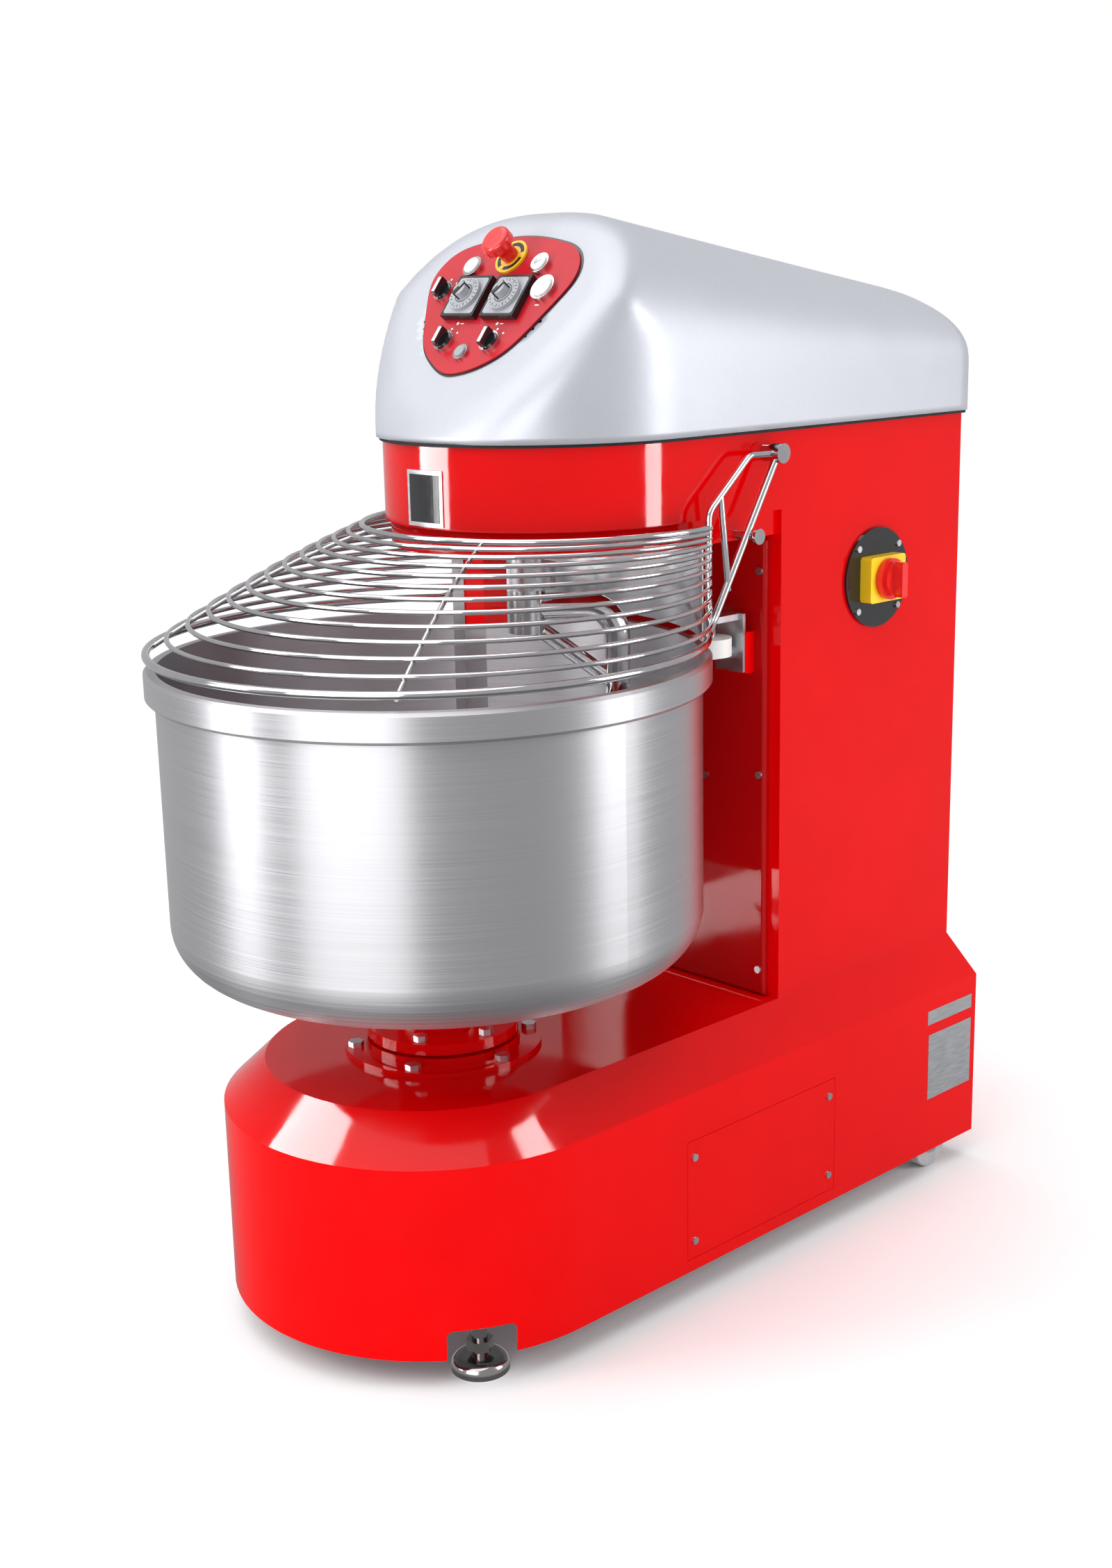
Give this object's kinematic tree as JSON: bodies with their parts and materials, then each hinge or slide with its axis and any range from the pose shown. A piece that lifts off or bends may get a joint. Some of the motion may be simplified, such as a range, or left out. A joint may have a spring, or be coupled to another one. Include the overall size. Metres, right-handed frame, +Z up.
{
  "type": "spiral dough mixer",
  "caption": "Floor-standing spiral dough mixer: round bowl on a welded base, spiral tool and breaker bar under a hinged wire guard, sloping control head.",
  "frame": {"origin": "on the floor, under the middle of the machine's length and width", "axes": "+Z up, -Y to the front where the bowl and the control face are, +X to the side with the isolator switch"},
  "size_m": [0.7, 1.165, 1.3839],
  "materials": {
    "red_paint": "gloss",
    "red_paint_hub": "gloss paint",
    "silver_paint": "satin",
    "stainless": "brushed",
    "chrome": "polished",
    "zinc": "zinc plated",
    "screw_steel": "satin",
    "bearing_steel": "ground",
    "black_steel": "satin",
    "cast_iron": "satin",
    "motor_grey": "painted",
    "black_plastic": "satin",
    "plate_black": "satin",
    "black_rubber": "matt",
    "grey_rubber": "satin",
    "yellow_plastic": "gloss",
    "red_plastic": "gloss",
    "white_plastic": "gloss",
    "grey_plastic": "gloss",
    "silver_plastic": "satin",
    "white_nylon": "satin"
  },
  "bodies": {
    "frame": {"base_shell": "red_paint", "chassis": "black_steel", "side_panels": "red_paint", "panel_screws": "screw_steel", "cable_gland": "black_plastic", "nameplates": "plate_black", "wheel_axles": "zinc", "body_shell": "red_paint", "head_tray": "red_paint", "front_panel": "red_paint", "rear_panel": "red_paint", "hood_seal": "black_rubber", "hood": "silver_paint", "isolator_plate": "black_plastic", "isolator_block": "yellow_plastic", "control_gasket": "black_rubber", "control_plate": "red_paint", "control_bezels": "chrome", "stop_collar": "yellow_plastic", "timer_cases": "black_plastic", "contact_blocks": "black_plastic", "drive_belts": "black_rubber", "motors": "motor_grey", "motor_plates": "black_steel", "bearing_housings": "red_paint_hub", "bearings": "bearing_steel", "fixed_bolts": "zinc", "breaker_bar": "stainless", "breaker_post": "red_paint", "guide_blocks": "red_paint", "guide_brackets": "zinc", "guard_pins": "zinc", "rear_apron": "stainless"},
    "bowl": {"bowl": "stainless", "bowl_hub": "red_paint_hub", "bowl_hub_bolts": "zinc", "bowl_pulley": "cast_iron"},
    "bowl_driver": {"bowl_driver": "cast_iron"},
    "spiral": {"spiral_bar": "stainless", "spiral_shaft": "stainless", "spiral_pulley": "cast_iron"},
    "spiral_driver": {"spiral_driver": "cast_iron"},
    "guard": {"guard_cage": "chrome"},
    "guide_roller_left": {"guide_roller_left": "white_nylon"},
    "guide_roller_right": {"guide_roller_right": "white_nylon"},
    "foot_left": {"foot_left": "zinc"},
    "foot_right": {"foot_right": "zinc"},
    "wheel_left": {"wheel_left": "grey_rubber"},
    "wheel_right": {"wheel_right": "grey_rubber"},
    "stop_mushroom": {"stop_mushroom": "red_plastic"},
    "start_button": {"start_button": "white_plastic"},
    "jog_button": {"jog_button": "white_plastic"},
    "stop_button": {"stop_button": "white_plastic"},
    "reset_button": {"reset_button": "grey_plastic"},
    "bowl_selector": {"bowl_selector": "black_plastic"},
    "speed_selector": {"speed_selector": "black_plastic"},
    "mode_selector": {"mode_selector": "black_plastic"},
    "timer_dial_left": {"timer_dial_left": "silver_plastic"},
    "timer_dial_right": {"timer_dial_right": "silver_plastic"},
    "isolator_knob": {"isolator_knob": "red_plastic"}
  },
  "joints": [
    {"name": "bowl_turn", "type": "hinge", "parent": "frame", "child": "bowl", "pos_m": [0, -0.2325, 0.5], "axis": [0, 0, 1], "continuous": true},
    {"name": "bowl_driver_turn", "type": "hinge", "parent": "frame", "child": "bowl_driver", "pos_m": [0, 0.3275, 0.12], "axis": [0, 0, 1], "continuous": true},
    {"name": "spiral_turn", "type": "hinge", "parent": "frame", "child": "spiral", "pos_m": [-0.02, -0.0485, 0.9], "axis": [0, 0, 1], "continuous": true},
    {"name": "spiral_driver_turn", "type": "hinge", "parent": "frame", "child": "spiral_driver", "pos_m": [0, 0.3675, 1.08], "axis": [0, 0, 1], "continuous": true},
    {"name": "guide_roller_left_turn", "type": "hinge", "parent": "frame", "child": "guide_roller_left", "pos_m": [-0.152, 0.1155, 0.83], "axis": [0, 0, 1], "continuous": true},
    {"name": "guide_roller_right_turn", "type": "hinge", "parent": "frame", "child": "guide_roller_right", "pos_m": [0.152, 0.1155, 0.83], "axis": [0, 0, 1], "continuous": true},
    {"name": "guard_lift", "type": "hinge", "parent": "frame", "child": "guard", "pos_m": [0, 0.1515, 1.081], "axis": [-1, 0, 0], "range_deg": [0, 40]},
    {"name": "foot_left_turn", "type": "hinge", "parent": "frame", "child": "foot_left", "pos_m": [-0.19671, -0.35654, 0.04], "axis": [0, 0, 1], "continuous": true},
    {"name": "foot_right_turn", "type": "hinge", "parent": "frame", "child": "foot_right", "pos_m": [0.19671, -0.35654, 0.04], "axis": [0, 0, 1], "continuous": true},
    {"name": "wheel_left_turn", "type": "hinge", "parent": "frame", "child": "wheel_left", "pos_m": [-0.237, 0.4965, 0.035], "axis": [1, 0, 0], "continuous": true},
    {"name": "wheel_right_turn", "type": "hinge", "parent": "frame", "child": "wheel_right", "pos_m": [0.237, 0.4965, 0.035], "axis": [1, 0, 0], "continuous": true},
    {"name": "stop_push", "type": "slide", "parent": "frame", "child": "stop_mushroom", "axis": [0, 0.788, -0.6157], "range_m": [0, 0.005], "stiffness_N_per_m": 800, "springref_m": -0.006},
    {"name": "start_push", "type": "slide", "parent": "frame", "child": "start_button", "axis": [0, 0.788, -0.6157], "range_m": [0, 0.003], "stiffness_N_per_m": 400, "springref_m": -0.004},
    {"name": "jog_push", "type": "slide", "parent": "frame", "child": "jog_button", "axis": [0, 0.788, -0.6157], "range_m": [0, 0.003], "stiffness_N_per_m": 400, "springref_m": -0.004},
    {"name": "stop_button_push", "type": "slide", "parent": "frame", "child": "stop_button", "axis": [0, 0.788, -0.6157], "range_m": [0, 0.003], "stiffness_N_per_m": 400, "springref_m": -0.004},
    {"name": "reset_push", "type": "slide", "parent": "frame", "child": "reset_button", "axis": [0, 0.788, -0.6157], "range_m": [0, 0.0022], "stiffness_N_per_m": 400, "springref_m": -0.004},
    {"name": "bowl_selector_turn", "type": "hinge", "parent": "frame", "child": "bowl_selector", "pos_m": [-0.093, -0.11198, 1.28826], "axis": [0, -0.788, 0.6157], "range_deg": [-45, 45]},
    {"name": "speed_selector_turn", "type": "hinge", "parent": "frame", "child": "speed_selector", "pos_m": [-0.042, -0.15815, 1.22915], "axis": [0, -0.788, 0.6157], "range_deg": [-45, 45]},
    {"name": "mode_selector_turn", "type": "hinge", "parent": "frame", "child": "mode_selector", "pos_m": [0.042, -0.15815, 1.22915], "axis": [0, -0.788, 0.6157], "range_deg": [-45, 45]},
    {"name": "timer_dial_left_turn", "type": "hinge", "parent": "frame", "child": "timer_dial_left", "pos_m": [-0.036, -0.12409, 1.28249], "axis": [0, 0.788, -0.6157], "range_deg": [0, 300]},
    {"name": "timer_dial_right_turn", "type": "hinge", "parent": "frame", "child": "timer_dial_right", "pos_m": [0.036, -0.12409, 1.28249], "axis": [0, 0.788, -0.6157], "range_deg": [0, 300]},
    {"name": "isolator_turn", "type": "hinge", "parent": "frame", "child": "isolator_knob", "pos_m": [0.24, 0.3835, 0.896], "axis": [1, 0, 0], "range_deg": [0, 90]}
  ],
  "couplings": [
    {"joint": "bowl_driver_turn", "follows": "bowl_turn", "ratio": 4.2222},
    {"joint": "guide_roller_left_turn", "follows": "bowl_turn", "ratio": -11.926},
    {"joint": "guide_roller_right_turn", "follows": "bowl_turn", "ratio": -11.926},
    {"joint": "spiral_driver_turn", "follows": "spiral_turn", "ratio": 4}
  ]
}
